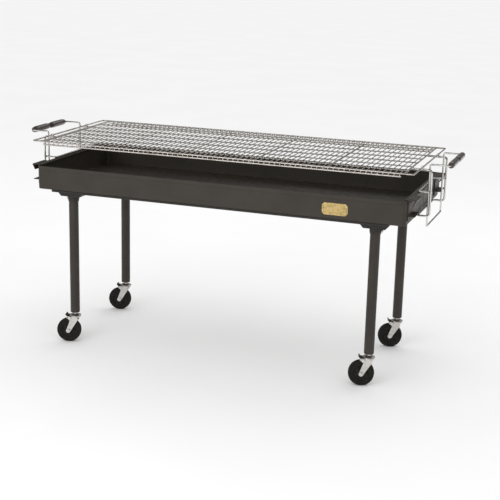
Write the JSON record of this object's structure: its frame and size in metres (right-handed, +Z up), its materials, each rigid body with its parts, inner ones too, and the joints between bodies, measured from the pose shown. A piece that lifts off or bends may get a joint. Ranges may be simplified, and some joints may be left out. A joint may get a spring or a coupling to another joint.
{
  "type": "charcoal grill",
  "caption": "Long open-trough charcoal grill on tube legs with locking swivel casters; its wire cooking grate hangs on swinging lift racks with wooden grips.",
  "frame": {"origin": "on the floor, in the middle of the four legs", "axes": "+X to the right along the trough, +Y from front to back, +Z up"},
  "size_m": [1.778, 0.6276, 0.8755],
  "materials": {
    "trough_paint": "satin black heat paint",
    "frame_paint": "satin black paint",
    "leg_paint": "satin black paint",
    "zinc": "bright zinc plate",
    "brake_paint": "black",
    "rubber": "matt black rubber",
    "hub_plastic": "matt black",
    "badge_brass": "satin brass",
    "grate_plating": "bright nickel plate",
    "rack_plating": "bright nickel plate",
    "grip_wood": "dark stained and varnished"
  },
  "bodies": {
    "cart": {"trough": "trough_paint", "end_rail_left": "trough_paint", "end_rail_right": "trough_paint", "corner_bracket_fl": "trough_paint", "corner_bracket_fr": "trough_paint", "corner_bracket_bl": "trough_paint", "corner_bracket_br": "trough_paint", "frame_bar_front": "frame_paint", "frame_bar_back": "frame_paint", "leg_pan_fl": "frame_paint", "leg_pan_fr": "frame_paint", "leg_pan_bl": "frame_paint", "leg_pan_br": "frame_paint", "leg_collar_fl": "frame_paint", "leg_collar_fr": "frame_paint", "leg_collar_bl": "frame_paint", "leg_collar_br": "frame_paint", "collar_screws": "zinc", "leg_fl": "leg_paint", "leg_fr": "leg_paint", "leg_bl": "leg_paint", "leg_br": "leg_paint", "caster_stem_fl": "zinc", "caster_stem_fr": "zinc", "caster_stem_bl": "zinc", "caster_stem_br": "zinc", "badge": "badge_brass", "badge_rivets": "badge_brass"},
    "caster_fl": {"fork_fl": "zinc", "axle_fl": "zinc"},
    "wheel_fl": {"tyre_fl": "rubber", "hub_fl": "hub_plastic"},
    "brake_lever_fl": {"brake_fl": "brake_paint"},
    "caster_fr": {"fork_fr": "zinc", "axle_fr": "zinc"},
    "wheel_fr": {"tyre_fr": "rubber", "hub_fr": "hub_plastic"},
    "brake_lever_fr": {"brake_fr": "brake_paint"},
    "caster_bl": {"fork_bl": "zinc", "axle_bl": "zinc"},
    "wheel_bl": {"tyre_bl": "rubber", "hub_bl": "hub_plastic"},
    "brake_lever_bl": {"brake_bl": "brake_paint"},
    "caster_br": {"fork_br": "zinc", "axle_br": "zinc"},
    "wheel_br": {"tyre_br": "rubber", "hub_br": "hub_plastic"},
    "brake_lever_br": {"brake_br": "brake_paint"},
    "grate": {"grate_frame": "grate_plating", "grate_rods": "grate_plating", "grate_wires": "grate_plating", "grate_posts": "grate_plating"},
    "rack_left": {"rack_frame_left": "rack_plating", "rack_handle_left": "rack_plating", "grip_left_front": "grip_wood", "grip_left_back": "grip_wood"},
    "rack_right": {"rack_frame_right": "rack_plating", "rack_handle_right": "rack_plating", "grip_right_front": "grip_wood", "grip_right_back": "grip_wood"}
  },
  "joints": [
    {"name": "swivel_fl", "type": "hinge", "parent": "cart", "child": "caster_fl", "pos_m": [-0.632, -0.242, 0.11], "axis": [0, 0, 1], "continuous": true},
    {"name": "wheel_fl", "type": "hinge", "parent": "caster_fl", "child": "wheel_fl", "pos_m": [-0.6575, -0.24883, 0.0508], "axis": [-0.2588, 0.9659, 0], "continuous": true},
    {"name": "brake_fl", "type": "hinge", "parent": "caster_fl", "child": "brake_lever_fl", "pos_m": [-0.66001, -0.24951, 0.1089], "axis": [0.2588, -0.9659, 0], "range_deg": [0, 25]},
    {"name": "swivel_fr", "type": "hinge", "parent": "cart", "child": "caster_fr", "pos_m": [0.632, -0.242, 0.11], "axis": [0, 0, 1], "continuous": true},
    {"name": "wheel_fr", "type": "hinge", "parent": "caster_fr", "child": "wheel_fr", "pos_m": [0.6065, -0.24883, 0.0508], "axis": [-0.2588, 0.9659, 0], "continuous": true},
    {"name": "brake_fr", "type": "hinge", "parent": "caster_fr", "child": "brake_lever_fr", "pos_m": [0.60399, -0.24951, 0.1089], "axis": [0.2588, -0.9659, 0], "range_deg": [0, 25]},
    {"name": "swivel_bl", "type": "hinge", "parent": "cart", "child": "caster_bl", "pos_m": [-0.632, 0.242, 0.11], "axis": [0, 0, 1], "continuous": true},
    {"name": "wheel_bl", "type": "hinge", "parent": "caster_bl", "child": "wheel_bl", "pos_m": [-0.6575, 0.23517, 0.0508], "axis": [-0.2588, 0.9659, 0], "continuous": true},
    {"name": "brake_bl", "type": "hinge", "parent": "caster_bl", "child": "brake_lever_bl", "pos_m": [-0.66001, 0.23449, 0.1089], "axis": [0.2588, -0.9659, 0], "range_deg": [0, 25]},
    {"name": "swivel_br", "type": "hinge", "parent": "cart", "child": "caster_br", "pos_m": [0.632, 0.242, 0.11], "axis": [0, 0, 1], "continuous": true},
    {"name": "wheel_br", "type": "hinge", "parent": "caster_br", "child": "wheel_br", "pos_m": [0.6065, 0.23517, 0.0508], "axis": [-0.2588, 0.9659, 0], "continuous": true},
    {"name": "brake_br", "type": "hinge", "parent": "caster_br", "child": "brake_lever_br", "pos_m": [0.60399, 0.23449, 0.1089], "axis": [0.2588, -0.9659, 0], "range_deg": [0, 25]},
    {"name": "grate_lift", "type": "slide", "parent": "cart", "child": "grate", "axis": [0, 0, 1], "range_m": [0, 0.07]},
    {"name": "rack_swing_left", "type": "hinge", "parent": "grate", "child": "rack_left", "pos_m": [-0.776, 0, 0.8512], "axis": [0, 1, 0], "range_deg": [0, 15]},
    {"name": "rack_swing_right", "type": "hinge", "parent": "grate", "child": "rack_right", "pos_m": [0.776, 0, 0.8512], "axis": [0, -1, 0], "range_deg": [0, 15]}
  ]
}
